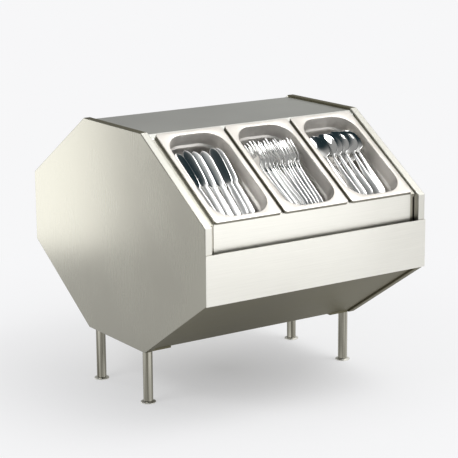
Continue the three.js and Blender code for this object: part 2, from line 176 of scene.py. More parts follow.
class Nodes:
    """A material's node tree, with short ways to add and link nodes."""

    def __init__(self, name):
        self.material = bpy.data.materials.new(name)
        self.material.use_nodes = True
        self.tree = self.material.node_tree
        self.shader = self.tree.nodes["Principled BSDF"]

    def add(self, kind, **settings):
        node = self.tree.nodes.new(kind)
        for key, value in settings.items():
            setattr(node, key, value)
        return node

    def link(self, output, socket):
        self.tree.links.new(output, socket)

    def set(self, **values):
        """Values on the shader's own sockets, with _ for a space in a socket's name."""
        for key, value in values.items():
            self.shader.inputs[key.replace("_", " ")].default_value = value

    def noise(self, scale, stretch=(1, 1, 1), detail=2.0, turn=(0, 0, 0)):
        """Noise over the piece's own coordinates, stretched by the inverse of each factor."""
        place = self.add("ShaderNodeTexCoord")
        mapping = self.add("ShaderNodeMapping")
        mapping.inputs["Scale"].default_value = stretch
        mapping.inputs["Rotation"].default_value = turn
        texture = self.add("ShaderNodeTexNoise")
        texture.inputs["Scale"].default_value = scale
        texture.inputs["Detail"].default_value = detail
        self.link(place.outputs["Object"], mapping.inputs["Vector"])
        self.link(mapping.outputs["Vector"], texture.inputs["Vector"])
        return texture.outputs["Fac"]

    def ramp(self, value, low, high, start=0.3, end=0.7):
        """Colours from low to high as the value goes from start to end."""
        ramp = self.add("ShaderNodeValToRGB")
        ramp.color_ramp.elements[0].position = start
        ramp.color_ramp.elements[1].position = end
        ramp.color_ramp.elements[0].color = (*low, 1)
        ramp.color_ramp.elements[1].color = (*high, 1)
        self.link(value, ramp.inputs["Fac"])
        return ramp.outputs["Color"]

    def spread(self, value, low, high):
        """A number from low to high as the value goes from 0.25 to 0.75."""
        spread = self.add("ShaderNodeMapRange")
        spread.inputs["From Min"].default_value = 0.25
        spread.inputs["From Max"].default_value = 0.75
        spread.inputs["To Min"].default_value = low
        spread.inputs["To Max"].default_value = high
        self.link(value, spread.inputs["Value"])
        return spread.outputs["Result"]

    def math(self, operation, first, second):
        result = self.add("ShaderNodeMath", operation=operation)
        self.link(first, result.inputs[0])
        self.link(second, result.inputs[1])
        return result.outputs["Value"]

    def bump(self, height, strength, distance):
        bump = self.add("ShaderNodeBump")
        bump.inputs["Strength"].default_value = strength
        bump.inputs["Distance"].default_value = distance
        self.link(height, bump.inputs["Height"])
        self.link(bump.outputs["Normal"], self.shader.inputs["Normal"])

    def finish(self, colour, roughness):
        self.link(colour, self.shader.inputs["Base Color"])
        self.link(roughness, self.shader.inputs["Roughness"])


# Stretch of the grain along each axis, and the noise scales of fine lines and broad clouds
GRAIN = {"x": (0.012, 1, 1), "y": (1, 0.012, 1), "z": (1, 1, 0.012)}
LINE_SCALE = 900
CLOUD_SCALE = 4.5
FINE_HEIGHT = 0.0002
WAVE_HEIGHT = 0.0003


def brushed_steel(
    name, dark, light, rough, along, turn=(0, 0, 0), grain=0.05, depth=0.12, streak=0.35
):
    """Steel with a fine grain along one axis, cloudy tone and roughness that follows the grain."""
    nodes = Nodes(name)
    nodes.set(Metallic=1.0)
    lines = nodes.noise(LINE_SCALE, GRAIN[along], 3, turn)
    clouds = nodes.noise(CLOUD_SCALE, detail=3)
    tone = nodes.math("ADD", nodes.spread(lines, 0, streak), nodes.spread(clouds, 0.1, 0.5))
    cloudy_gloss = nodes.spread(clouds, rough - 0.03, rough + 0.03)
    gloss = nodes.math("ADD", nodes.spread(lines, -grain, grain), cloudy_gloss)
    nodes.finish(nodes.ramp(tone, dark, light, 0.1, 0.8), gloss)
    nodes.bump(lines, depth, FINE_HEIGHT)
    return nodes.material


def drawn_tube(name, dark, light, rough):
    """Drawn tube: broad streaks along Z in tone, painted reflection, and fine streaks from the die
    in tone and in roughness.
    """
    nodes = Nodes(name)
    nodes.set(Metallic=1.0)
    broad = nodes.noise(130, GRAIN["z"], 1)
    fine = nodes.noise(LINE_SCALE, GRAIN["z"], 2)
    tone = nodes.math("ADD", nodes.spread(broad, 0, 0.8), nodes.spread(fine, 0, 0.2))
    gloss = nodes.spread(fine, rough - 0.03, rough + 0.03)
    nodes.finish(nodes.ramp(tone, dark, light, 0.2, 0.85), gloss)
    nodes.bump(fine, 0.06, FINE_HEIGHT)
    return nodes.material


def polished_steel(name, dark, light, rough, smear):
    """Bright steel with soft smears, fine scratches and a faint waviness from pressing."""
    nodes = Nodes(name)
    nodes.set(Metallic=1.0)
    smears = nodes.noise(22, detail=2)
    scratches = nodes.noise(1500, (1, 0.05, 1), 2, (0.2, 0.1, 0.3))
    smeared_gloss = nodes.spread(smears, rough - smear, rough + smear)
    gloss = nodes.math("ADD", smeared_gloss, nodes.spread(scratches, -0.015, 0.015))
    nodes.finish(nodes.ramp(smears, dark, light), gloss)
    nodes.bump(smears, 0.02, WAVE_HEIGHT)
    return nodes.material


def mill_steel(name, dark, light, rough):
    """Plain rolled steel with a cloudy, slightly mottled surface."""
    nodes = Nodes(name)
    nodes.set(Metallic=1.0)
    mottle = nodes.noise(160, detail=5)
    clouds = nodes.noise(9, detail=3)
    gloss = nodes.spread(mottle, rough - 0.08, rough + 0.08)
    nodes.finish(nodes.ramp(clouds, dark, light), gloss)
    nodes.bump(mottle, 0.15, FINE_HEIGHT)
    return nodes.material


def moulded(name, dark, light, rough):
    """A moulded part: matte, with a fine pitted skin."""
    nodes = Nodes(name)
    pits = nodes.noise(700, detail=3)
    clouds = nodes.noise(30, detail=2)
    gloss = nodes.spread(pits, rough - 0.08, rough + 0.08)
    nodes.finish(nodes.ramp(clouds, dark, light), gloss)
    nodes.bump(pits, 0.2, FINE_HEIGHT)
    return nodes.material


SLANT_TURN = (-SLANT_ANGLE, 0, 0)
SATIN_DARK = (0.5, 0.488, 0.425)
SATIN_LIGHT = (0.63, 0.616, 0.545)
satin_front = brushed_steel("satin_front", (0.68, 0.67, 0.615), (0.8, 0.79, 0.735), 0.36, "x")
satin_flange = brushed_steel("satin_flange", (0.58, 0.57, 0.52), (0.7, 0.69, 0.635), 0.34, "y")
# Base panel, leg plates and the side panels' downward and top flanges: steel darkened as painted
# shade
satin_under_painted_shade = brushed_steel("satin_under_painted_shade", (0.127, 0.117, 0.074), (0.176, 0.163, 0.107), 0.52, "x")
satin_across = brushed_steel("satin_across", SATIN_DARK, SATIN_LIGHT, 0.34, "x")
# Side skins: steel darkened overall as painted shade
satin_side_painted_shade = brushed_steel(
    "satin_side_painted_shade", (0.31, 0.302, 0.256), (0.4, 0.39, 0.334), 0.27, "z",
    grain=0.015, depth=0.025, streak=0.12,
)
satin_top = brushed_steel("satin_top", (0.6, 0.605, 0.57), (0.72, 0.725, 0.685), 0.34, "x")
satin_slant = brushed_steel("satin_slant", SATIN_DARK, SATIN_LIGHT, 0.36, "y", SLANT_TURN)
satin_upright = brushed_steel(
    "satin_upright", (0.5, 0.478, 0.41), (0.64, 0.616, 0.54), 0.34, "z", grain=0.03
)
# Feet: steel lightened as painted light
satin_foot_painted_light = brushed_steel("satin_foot_painted_light", (0.74, 0.73, 0.68), (0.86, 0.85, 0.8), 0.5, "x")
# Legs: broad streaks from near black to light steel, painted reflection, with fine die streaks
tube_steel_painted_reflection = drawn_tube("tube_steel_painted_reflection", (0.1, 0.092, 0.066), (0.66, 0.64, 0.55), 0.16)
drawn_steel = polished_steel("drawn_steel", (0.62, 0.59, 0.55), (0.71, 0.68, 0.64), 0.34, 0.03)
cutlery_steel = polished_steel("cutlery_steel", (0.8, 0.8, 0.79), (0.88, 0.88, 0.87), 0.1, 0.03)
# Rims' turned-down edges: steel darkened as painted shade
drawn_hem_painted_shade = polished_steel("drawn_hem_painted_shade", (0.26, 0.248, 0.205), (0.34, 0.325, 0.275), 0.4, 0.03)
# Container insides: steel lightened as painted light
drawn_inside_painted_light = polished_steel("drawn_inside_painted_light", (0.86, 0.83, 0.79), (0.94, 0.91, 0.87), 0.52, 0.04)
handle_steel = polished_steel("handle_steel", (0.84, 0.83, 0.82), (0.92, 0.91, 0.9), 0.4, 0.04)
rolled_steel = mill_steel("rolled_steel", (0.5, 0.51, 0.52), (0.62, 0.63, 0.64), 0.45)
white_nylon = moulded("white_nylon", (0.74, 0.73, 0.69), (0.84, 0.83, 0.79), 0.55)
black_rubber = moulded("black_rubber", (0.02, 0.02, 0.02), (0.035, 0.035, 0.035), 0.8)

# Each CAD piece's finish; side panels, base panel and leg plates get steel darkened as painted
# shade, legs painted reflection streaks and feet steel lightened as painted light
NODE_FINISH_OR_PAINTED_TONE = {
    "side_panel": (satin_side_painted_shade, "satin_steel"),
    "top_panel": (satin_top, "satin_steel"),
    "rear_panel": (satin_across, "satin_steel"),
    "base_panel": (satin_under_painted_shade, "satin_steel"),
    "front_fascia": (satin_front, "satin_steel"),
    "divider_bar": (satin_slant, "satin_steel"),
    "side_bearer": (satin_slant, "satin_steel"),
    "container": (drawn_steel, "polished_steel"),
    "leg_plate": (satin_under_painted_shade, "satin_steel"),
    "leg": (tube_steel_painted_reflection, "polished_steel"),
    "foot": (satin_foot_painted_light, "polished_steel"),
    "base_channel": (rolled_steel, "plain_steel"),
    "drawer_tray": (satin_across, "satin_steel"),
    "drawer_front": (satin_front, "satin_steel"),
    "runner": (rolled_steel, "plain_steel"),
    "slide_rail": (rolled_steel, "plain_steel"),
    "glide": (white_nylon, "nylon"),
    "bumper": (black_rubber, "rubber"),
}


def finish_of(node):
    """The finish or painted tone whose piece name is the longest start of the node's name."""
    return NODE_FINISH_OR_PAINTED_TONE[max((key for key in NODE_FINISH_OR_PAINTED_TONE if node.startswith(key)), key=len)]


for name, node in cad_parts.items():
    finish, slot_name = finish_of(name)
    node.data.materials.clear()
    node.data.materials.append(finish)


# Meshes


def arc(start, end, steps):
    """Evenly spaced values from start to end, both included."""
    return np.linspace(start, end, steps + 1)


def quarter(steps):
    """Angles over a quarter turn."""
    return arc(0, math.pi / 2, steps)


def ring_quads(rows, columns, closed=False):
    """Quads between neighbouring rings of a grid stored ring by ring, each ring joined to itself.
    In a closed grid the last ring is joined to the first."""
    r = np.arange(rows if closed else rows - 1)[:, None]
    c = np.arange(columns)[None, :]
    right = (c + 1) % columns
    above = (r + 1) % rows
    quads = [r * columns + c, r * columns + right, above * columns + right, above * columns + c]
    return np.stack(np.broadcast_arrays(*quads), -1).reshape(-1, 4)


def closed_faces(rows, columns):
    """Faces of rings whose last one meets the first: quads alone."""
    quads = ring_quads(rows, columns, closed=True)
    return quads.ravel(), np.full(len(quads), 4)


def capped_faces(rows, columns):
    """Faces of rings with open ends: quads, then a cap on the first ring and one on the last."""
    quads = ring_quads(rows, columns)
    first = np.arange(columns)[::-1]
    last = np.arange((rows - 1) * columns, rows * columns)
    sizes = np.concatenate([np.full(len(quads), 4), [columns, columns]])
    return np.concatenate([quads.ravel(), first, last]), sizes


def turned_over(faces):
    """The same faces, each with its corners in the other order, so that it points the other way."""
    corners, sizes = faces
    end = np.cumsum(sizes)
    mirror = np.repeat(2 * end - sizes - 1, sizes) - np.arange(len(corners))
    return corners[mirror], sizes


def joined(parts):
    """Several (points, faces) as one, with corner numbers moved past the points before them."""
    starts = np.cumsum([0] + [len(points) for points, _ in parts])
    corners = [faces[0] + start for (_, faces), start in zip(parts, starts)]
    sizes = [faces[1] for _, faces in parts]
    points = np.concatenate([points for points, _ in parts])
    return points, (np.concatenate(corners), np.concatenate(sizes))


def mesh_piece(name, points, faces, finishes, body, replaces=(), sharp=35, index=None):
    """A mesh from points in millimetres in the part's frame, with edges sharper than an angle kept.
    With several finishes, index gives the number of each face's finish."""
    corners, sizes = faces
    mesh = bpy.data.meshes.new(name)
    mesh.vertices.add(len(points))
    mesh.vertices.foreach_set("co", (points / 1000).astype(np.float32).ravel())
    mesh.loops.add(len(corners))
    mesh.loops.foreach_set("vertex_index", corners.astype(np.int32))
    mesh.polygons.add(len(sizes))
    mesh.polygons.foreach_set("loop_start", (np.cumsum(sizes) - sizes).astype(np.int32))
    mesh.update(calc_edges=True)
    mesh.polygons.foreach_set("use_smooth", np.ones(len(sizes), bool))
    mesh.set_sharp_from_angle(angle=math.radians(sharp))
    for finish in finishes:
        mesh.materials.append(finish)
    if index is not None:
        mesh.polygons.foreach_set("material_index", index.astype(np.int32))
    mesh.validate()
    mesh.update()
    made = bpy.data.objects.new(name, mesh)
    bpy.context.scene.collection.objects.link(made)
    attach(made, body)
    if replaces:
        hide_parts(*replaces)
    return made


def slant_to_frame(points):
    """Points with x across, y up the slant and z square to it, turned about X into the frame."""
    c, s = math.cos(SLANT_ANGLE), math.sin(SLANT_ANGLE)
    x, y, z = points[..., 0], points[..., 1], points[..., 2]
    middle_y = -(TOP_DEPTH + SLANT_LENGTH * c) / 2 + SHIFT_Y
    middle_z = LEG_HEIGHT + SIDE_RISE + 1.5 * SLANT_LENGTH * s
    return np.stack([x, middle_y + y * c - z * s, middle_z + y * s + z * c], -1)


# Drawn containers


def wall_line():
    """The inside of a container in section, as rows of inset from the rim, corner radius and depth.

    A quarter round at the mouth, a leaning wall, an S-curve for the stacking step, a second leaning
    wall and a quarter round to the floor. The corner radius shrinks as the wall moves inwards.
    """
    turn = quarter(MOUTH_STEPS)
    mouth = MOUTH_ROUND * np.stack([np.sin(turn), 1 - np.cos(turn)], -1) + [RIM_FLAT, 0]
    upper = MOUTH_END + arc(0.1, 1, 5)[:, None] * (UPPER_END - MOUTH_END)
    share = arc(0, 1, 8)[1:]
    s_curve = np.stack([share**2 * (3 - 2 * share), share], -1)
    step = UPPER_END + s_curve * (STEP_END - UPPER_END)
    lower = STEP_END + arc(0.1, 1, 6)[:, None] * (LOWER_END - STEP_END)
    turn = quarter(9)[1:]
    floor = LOWER_END + FLOOR_ROUND * np.stack([1 - np.cos(turn), np.sin(turn)], -1)
    inset, depth = np.concatenate([mouth, upper, step, lower, floor]).T
    outward = MOUTH_END[0] - inset
    inward = (inset - UPPER_END[0]).clip(0)
    corner = WALL_CORNER + np.where(outward > 0, outward, -inward)
    return np.stack([inset, corner, depth], -1)


def container_line():
    """A container in section, as rows like wall_line's: up the outer skin, round the rim's
    turned-down edge, over its top and down the inner skin."""
    inner = wall_line()
    outer = inner + [-CONTAINER_SHEET, CONTAINER_SHEET, CONTAINER_SHEET / 2]
    outer[[0, -1]] = inner[[0, -1]] + [0, 0, CONTAINER_SHEET]
    turn = quarter(RIM_EDGE_STEPS)
    inset = RIM_EDGE_ROUND * (1 - np.sin(turn))
    edge = np.stack([inset, RIM_CORNER - inset, RIM_EDGE_ROUND * (1 - np.cos(turn))], -1)
    return np.concatenate([outer[::-1], RIM_HEM, edge[::-1], inner])


def container_surface(steps=14):
    """Rounded rectangles carried along a container's section. Each ring has four quarter rounds of
    the section's corner radius."""
    inset, corner, depth = container_line().T[:, :, None]
    angle = (np.arange(4)[:, None] + arc(0, 1, steps)[None, :]).ravel() * math.pi / 2
    sign_x = np.repeat([1, -1, -1, 1], steps + 1)
    sign_y = np.repeat([1, 1, -1, -1], steps + 1)
    x = sign_x * (RIM_WIDTH / 2 - inset - corner) + corner * np.cos(angle)
    y = sign_y * (RIM_LENGTH / 2 - inset - corner) + corner * np.sin(angle)
    return np.stack([x, y, np.broadcast_to(RIM_TOP - depth, x.shape)], -1)


def make_containers():
    """The three containers, with the insides lightened as painted light and the rims' turned-down
    edges darkened as painted shade.
    """
    for place, x in PLACES.items():
        rings = container_surface() + [x, 0, 0]
        rows, columns = rings.shape[:2]
        faces = capped_faces(rows, columns)
        walls = len(wall_line())
        row = np.arange(len(faces[1])) // columns
        hem = (row >= walls) & (row < walls + len(RIM_HEM))
        # 1 is the inside, lightened as painted light, and 2 the hem, darkened as painted shade
        index = np.where(row >= rows - walls + MOUTH_STEPS, 1, np.where(hem, 2, 0))
        index[-2] = 0
        node = f"container_{place}"
        mesh_piece(
            f"{node}_drawn", slant_to_frame(rings.reshape(-1, 3)), faces,
            [drawn_steel, drawn_inside_painted_light, drawn_hem_painted_shade], f"{place}_container",
            [node], sharp=40, index=index,
        )


make_containers()


# Legs and feet


def turned_piece(profile, x, y, steps=72):
    """A closed (radius, height) profile carried round an upright axis."""
    around = arc(0, 2 * math.pi, steps)[:-1]
    radius, height = np.array(profile).T[:, :, None]
    ring = [x + radius * np.cos(around), y + radius * np.sin(around), height]
    points = np.stack(np.broadcast_arrays(*ring), -1).reshape(-1, 3)
    return points, closed_faces(len(profile), steps)


def rounded_corner(radius, height, size, start, steps=4):
    """A quarter round of a profile about a centre, from a start angle in quarter turns."""
    turn = (start + arc(0, 1, steps)) * math.pi / 2
    return [(radius + size * math.cos(t), height + size * math.sin(t)) for t in turn]


def leg_profile():
    """A tube wall: its lower edge chamfered inside and rounded outside."""
    inner = LEG_RADIUS - LEG_WALL
    low, high = FOOT_HEIGHT + LEG_GAP, LEG_HEIGHT - LEG_GAP
    profile = [(inner, low + 0.3), (inner + 0.3, low)]
    profile += rounded_corner(LEG_RADIUS - TUBE_EDGE, low + TUBE_EDGE, TUBE_EDGE, -1)
    return profile + [
        (LEG_RADIUS, low + 1), (LEG_RADIUS, high - 1), (LEG_RADIUS, high), (inner, high)
    ]


def foot_profile():
    """A flat disc with rounded edges, a slope up to the tube and a tapered spigot inside it."""
    spigot = LEG_RADIUS - LEG_WALL - LEG_GAP
    top = FOOT_HEIGHT + SPIGOT_LENGTH
    profile = [(AXIS_RADIUS, 0.0), (FOOT_RADIUS - FOOT_EDGE, 0.0)]
    profile += rounded_corner(FOOT_RADIUS - FOOT_EDGE, FOOT_EDGE, FOOT_EDGE, -1)
    shoulder_height = FOOT_EDGE + FOOT_SHOULDER
    profile += rounded_corner(FOOT_RADIUS - FOOT_SHOULDER, shoulder_height, FOOT_SHOULDER, 0)
    profile += [(LEG_RADIUS + 0.5, FOOT_HEIGHT - 0.15), (LEG_RADIUS, FOOT_HEIGHT)]
    profile += [(spigot, FOOT_HEIGHT), (spigot, top)]
    end = top + SPIGOT_TAPER
    return profile + [(spigot - SPIGOT_TAPER, end), (AXIS_RADIUS, end)]


def make_legs():
    """Four tubes and the round feet whose spigots sit in them."""
    # The tubes take painted reflection streaks and the feet steel lightened as painted light
    turned = {"leg": (leg_profile(), tube_steel_painted_reflection), "foot": (foot_profile(), satin_foot_painted_light)}
    for end, side_y in (("front", -1), ("rear", 1)):
        for side, side_x in (("left", -1), ("right", 1)):
            for kind, (profile, finish) in turned.items():
                node = f"{kind}_{end}_{side}"
                points, faces = turned_piece(profile, side_x * LEG_X, side_y * LEG_Y + SHIFT_Y)
                mesh_piece(
                    f"{node}_turned", points, faces, [finish], "body", [node]
                )


make_legs()


# Side panels


def octagon_rings(inset):
    """The body's eight corners in (y, z), moved inwards by each inset along their bisectors."""
    half = TOP_DEPTH / 2
    run = SLANT_LENGTH * math.cos(SLANT_ANGLE)
    rise = SLANT_LENGTH * math.sin(SLANT_ANGLE)
    wide, low, high, top = half + run, rise, rise + SIDE_RISE, 2 * rise + SIDE_RISE
    y = np.array([-half, half, wide, wide, half, -half, -wide, -wide])
    z = LEG_HEIGHT + np.array([0, 0, low, high, top, top, high, low])
    corners = np.stack([y, z], -1)
    along = np.roll(corners, -1, 0) - corners
    along /= np.linalg.norm(along, axis=1, keepdims=True)
    left = np.stack([-along[:, 1], along[:, 0]], -1)
    before = np.roll(left, 1, 0)
    shift = (left + before) / (1 + (left * before).sum(1, keepdims=True))
    return corners + np.asarray(inset)[:, None, None] * shift


def side_panel_line():
    """The pan in section, as inset from the octagon and depth from the outer face: skin, bend,
    flange, bend and return lip outside, then the same inside at one sheet's distance."""
    turn = quarter(BEND_STEPS)
    clear = BEND_RADIUS + BEND_MARGIN

    def bends(radius):
        """The bends to the flange and to the lip, with a radius about the same two centres."""
        shorter, longer = radius * np.sin(turn), radius * np.cos(turn)
        flange_bend = np.stack([BEND_RADIUS - shorter, BEND_RADIUS - longer], -1)
        lip_bend = np.stack([BEND_RADIUS - longer, FLANGE - BEND_RADIUS + shorter], -1)
        return flange_bend, lip_bend

    outer_flange, outer_lip = bends(BEND_RADIUS)
    inner_flange, inner_lip = bends(BEND_RADIUS - SHEET)
    return np.concatenate([
        [[SKIN_INSET, 0], [clear, 0]], outer_flange,
        [[0, clear], [0, FLANGE - clear]], outer_lip,
        [[clear, FLANGE], [LIP, FLANGE], [LIP, FLANGE - SHEET]], inner_lip[::-1],
        inner_flange[::-1], [[SKIN_INSET, SHEET]],
    ])


# Finish of each flange, 1 plain satin steel and 2 steel darkened as painted shade: bottom, lower
# rear slant, rear, upper rear slant, top, upper front slant, front and lower front slant
FLANGE_FINISH_OR_PAINTED_SHADE = np.array([2, 2, 1, 1, 2, 1, 1, 2])


def make_side_panels():
    """Both pans: the skin in steel darkened as painted shade, the flanges by their directions,
    those facing down or up in steel darkened further as painted shade.
    """
    line = side_panel_line()
    flat = octagon_rings(line[:, 0])
    rows, columns = flat.shape[:2]
    face = np.arange((rows - 1) * columns + 2)
    index = np.where(face // columns < SKIN_ROWS, 0, FLANGE_FINISH_OR_PAINTED_SHADE[face % columns])
    index[-2:] = 0
    for side, sign in (("left", -1), ("right", 1)):
        x = np.broadcast_to(sign * (BODY_WIDTH / 2 - line[:, 1, None]), flat.shape[:2])
        points = np.stack([x, flat[..., 0] + SHIFT_Y, flat[..., 1]], -1).reshape(-1, 3)
        faces = capped_faces(rows, columns)
        node = f"side_panel_{side}"
        mesh_piece(
            f"{node}_folded", points, turned_over(faces) if sign > 0 else faces,
            [satin_side_painted_shade, satin_flange, satin_under_painted_shade], "body", [node],
            sharp=30, index=index,
        )


make_side_panels()


# Strips beside the fascia


def folded_strip(path, low, high):
    """A thin strip: a path in (x, y) given a thickness to its left, with both edges cut off at an
    angle, carried upwards from low to high. At a fold the thickness follows the bisector."""
    path = np.array(path)
    along = np.diff(path, axis=0)
    along /= np.linalg.norm(along, axis=1, keepdims=True)
    left = np.stack([-along[:, 1], along[:, 0]], -1)
    ends = np.concatenate([left[:1], left, left[-1:]])
    shift = ends[:-1] + ends[1:]
    shift /= (shift * ends[1:]).sum(1, keepdims=True)
    far = path + STRIP_SHEET * shift
    first_along, last_along = STRIP_CHAMFER * along[[0, -1]]
    first_up, last_up = STRIP_CHAMFER * shift[[0, -1]]
    loop = np.array([
        path[0] + first_up, path[0] + first_along, *path[1:-1],
        path[-1] - last_along, path[-1] + last_up,
        far[-1] - last_up, far[-1] - last_along, *far[-2:0:-1],
        far[0] + first_along, far[0] - first_up,
    ])
    rings = np.empty((STRIP_RINGS, len(loop), 3))
    rings[..., :2] = loop
    rings[..., 2] = np.linspace(low, high, STRIP_RINGS)[:, None]
    return rings.reshape(-1, 3), capped_faces(STRIP_RINGS, len(loop))


def make_end_strips():
    """Angles that close the slots between the fascia's ends and the side panels' lips."""
    face, back = STRIP_FACE + SHIFT_Y, STRIP_BACK + SHIFT_Y
    for side, sign in (("left", -1), ("right", 1)):
        web, reach = sign * STRIP_WEB, sign * STRIP_REACH
        path = [(web, back), (web, face), (reach, face)]
        points, faces = folded_strip(path, STRIP_LOW, STRIP_HIGH)
        mesh_piece(
            f"end_strip_{side}", points, turned_over(faces) if sign < 0 else faces,
            [satin_upright], "body",
        )


make_end_strips()


# Cutlery


def lens_body(length, left, right, rise, thick, cup, count=20):
    """A flat bar with a lens section. At each place along it the section runs from -left to right,
    its middle lies at rise, it is thick in the middle and its edges stand up by cup."""
    turn = np.arange(count) * 2 * math.pi / count
    c, s = np.cos(turn), np.sin(turn)
    across = np.where(c < 0, left[:, None] * c, right[:, None] * c)
    height = rise[:, None] + cup[:, None] * (c**2 - 1) + thick[:, None] / 2 * s
    along = np.broadcast_to(length[:, None], across.shape)
    return np.stack([across, along, height], -1).reshape(-1, 3), capped_faces(*across.shape)


def knife():
    """A table knife: round-ended handle, narrow bolster and a blade with a straight back."""
    handle_at = [0, 0.6, 2, 5, 10, 25, 50, 75, 90, 95, 97]
    handle_half = [0.5, 3.6, 6.0, 7.6, 8.4, 8.8, 8.3, 7.2, 6.4, 6.2, 6.0]
    handle_thick = [1.2, 3.0, 3.9, 4.4, 4.6, 4.8, 4.8, 4.8, 4.8, 4.8, 4.4]
    blade_at = [99, 103, 112, 130, 150, 170, 185, 195, 202, 206, 207.6, 208.0]
    blade_back = [6.4, 7.6, 8.6, 9, 9, 9, 8.8, 8.2, 6.6, 4.4, 2.2, 0.4]
    blade_edge = [6.8, 8.6, 9.6, 10.4, 10.8, 10.8, 10.2, 8.6, 5.8, 2.6, 0.6, 0.2]
    blade_thick = [3.6, 2.8, 2.2, 2.0, 1.9, 1.8, 1.6, 1.5, 1.3, 1.1, 0.9, 0.5]
    at = np.array(handle_at + blade_at) * KNIFE_STRETCH
    back, edge = np.array(handle_half + blade_back), np.array(handle_half + blade_edge)
    flat = np.zeros_like(at)
    return lens_body(at, back, edge, flat, np.array(handle_thick + blade_thick), flat)


def fork():
    """A table fork: a flat handle that thins to a neck, a cupped head and four curved tines."""
    at = np.array([0, 0.8, 3, 8, 18, 40, 70, 95, 112, 122, 130, 137, 143, 148, 153, 156.0])
    half = np.array(
        [1, 5.0, 7.6, 9.2, 9.6, 8.0, 5.6, 4.2, 3.6, 3.6, 4.6, 7.6, 10.4, 12.0, 12.6, 12.6]
    )
    rise = np.array(
        [-1, -1, -0.8, -0.4, 0.5, 2.5, 4.5, 6.4, 8.2, 8.4, 7.6, 6.2, 4.8, 3.6, 2.6, 2.1]
    )
    thick = np.array([1, 1.8, 2.2, 2.4, 2.6, 2.8, 3.0, 3.4, 3.6, 3.4, 3.0, 2.6, 2.3, 2.1, 2, 2.0])
    cup = np.array([0, 0, 0, 0, 0, 0, 0, 0, 0, 0.2, 0.6, 1.2, 1.6, 1.8, 1.8, 1.8])
    parts = [lens_body(at * FORK_STRETCH, half, half, rise, thick, cup, 16)]
    run = np.array([150, 156, 164, 174, 184, 192, 197, 200.0]) * FORK_STRETCH
    tine = np.array([1.9, 1.9, 1.8, 1.7, 1.6, 1.4, 1.0, 0.3])
    lift = np.array([3.2, 2.1, 0.9, 0.2, 0.6, 1.8, 2.9, 3.6])
    depth = np.array([1.8, 1.9, 1.9, 1.8, 1.7, 1.5, 1.2, 0.5])
    for middle in (-10.3, -3.45, 3.45, 10.3):
        sunk = lift - cup[-1] * (1 - (middle / half[-1]) ** 2)
        points, faces = lens_body(run, tine, tine, sunk, depth, np.zeros_like(run), 8)
        parts.append((points + [middle, 0, 0], faces))
    return joined(parts)


def spoon():
    """A table spoon: a flat handle, a narrow neck and an egg-shaped bowl, deepest in its middle."""
    at = np.array([0, 0.8, 3, 8, 18, 40, 70, 95, 112, 122, 128, 132.0])
    half = np.array([1, 5.0, 7.6, 9.2, 9.6, 8.0, 5.6, 4.2, 3.5, 3.3, 3.6, 5.2])
    rise = np.array([-1, -1, -0.8, -0.4, 0.5, 2.5, 4.5, 6.2, 7.2, 7.0, 6.2, 5.4])
    thick = np.array([1, 1.8, 2.2, 2.4, 2.6, 2.8, 3.0, 3.4, 3.4, 3.2, 2.8, 2.4])
    bowl = arc(0, 1, 22)[1:]
    width = 20.5 * np.sqrt(np.clip(1 - np.abs(2 * (bowl**0.82) - 1) ** 2.1, 0, 1))
    width = np.maximum(width, np.where(bowl < 0.2, half[-1], 0.3))
    hollow = 5.5 * np.sin(math.pi * bowl**0.85) ** 0.8
    cup = np.concatenate([np.zeros_like(at), hollow])
    at = np.concatenate([at, at[-1] + 68 * bowl]) * SPOON_STRETCH
    half = np.concatenate([half, width])
    rise = np.concatenate([rise, rise[-1] - 2.4 * bowl])
    thick = np.concatenate([thick, 2.2 - 0.9 * np.sin(math.pi * bowl)])
    return lens_body(at, half, half, rise, thick, cup, 24)


def turn_matrix(axis, angle):
    """The turn by an angle about one axis."""
    c, s = math.cos(angle), math.sin(angle)
    a, b = [(1, 2), (2, 0), (0, 1)][axis]
    turn = np.eye(3)
    turn[[a, b, a, b], [a, b, b, a]] = c, c, -s, s
    return turn


def wall_excess(points):
    """How far points lie beyond the inside of a container, plus a small clearance. At each depth
    the inside is a rounded rectangle, with the inset and corner radius of the wall's section."""
    line = wall_line()
    inset, corner = (np.interp(RIM_TOP - points[:, 2], line[:, 2], line[:, i]) for i in (0, 1))
    past_x = np.abs(points[:, 0]) - (RIM_WIDTH / 2 - inset - corner)
    past_y = np.abs(points[:, 1]) - (RIM_LENGTH / 2 - inset - corner)
    past = np.hypot(past_x.clip(0), past_y.clip(0)) - corner
    return past.max() + WALL_CLEARANCE


# A kind of cutlery: copies in a row, roll about their length, half the width of the widest place,
# rows, length of the handle, and the handle ends' places in each row
Kind = namedtuple("Kind", "name shape count roll half rows grip handles")


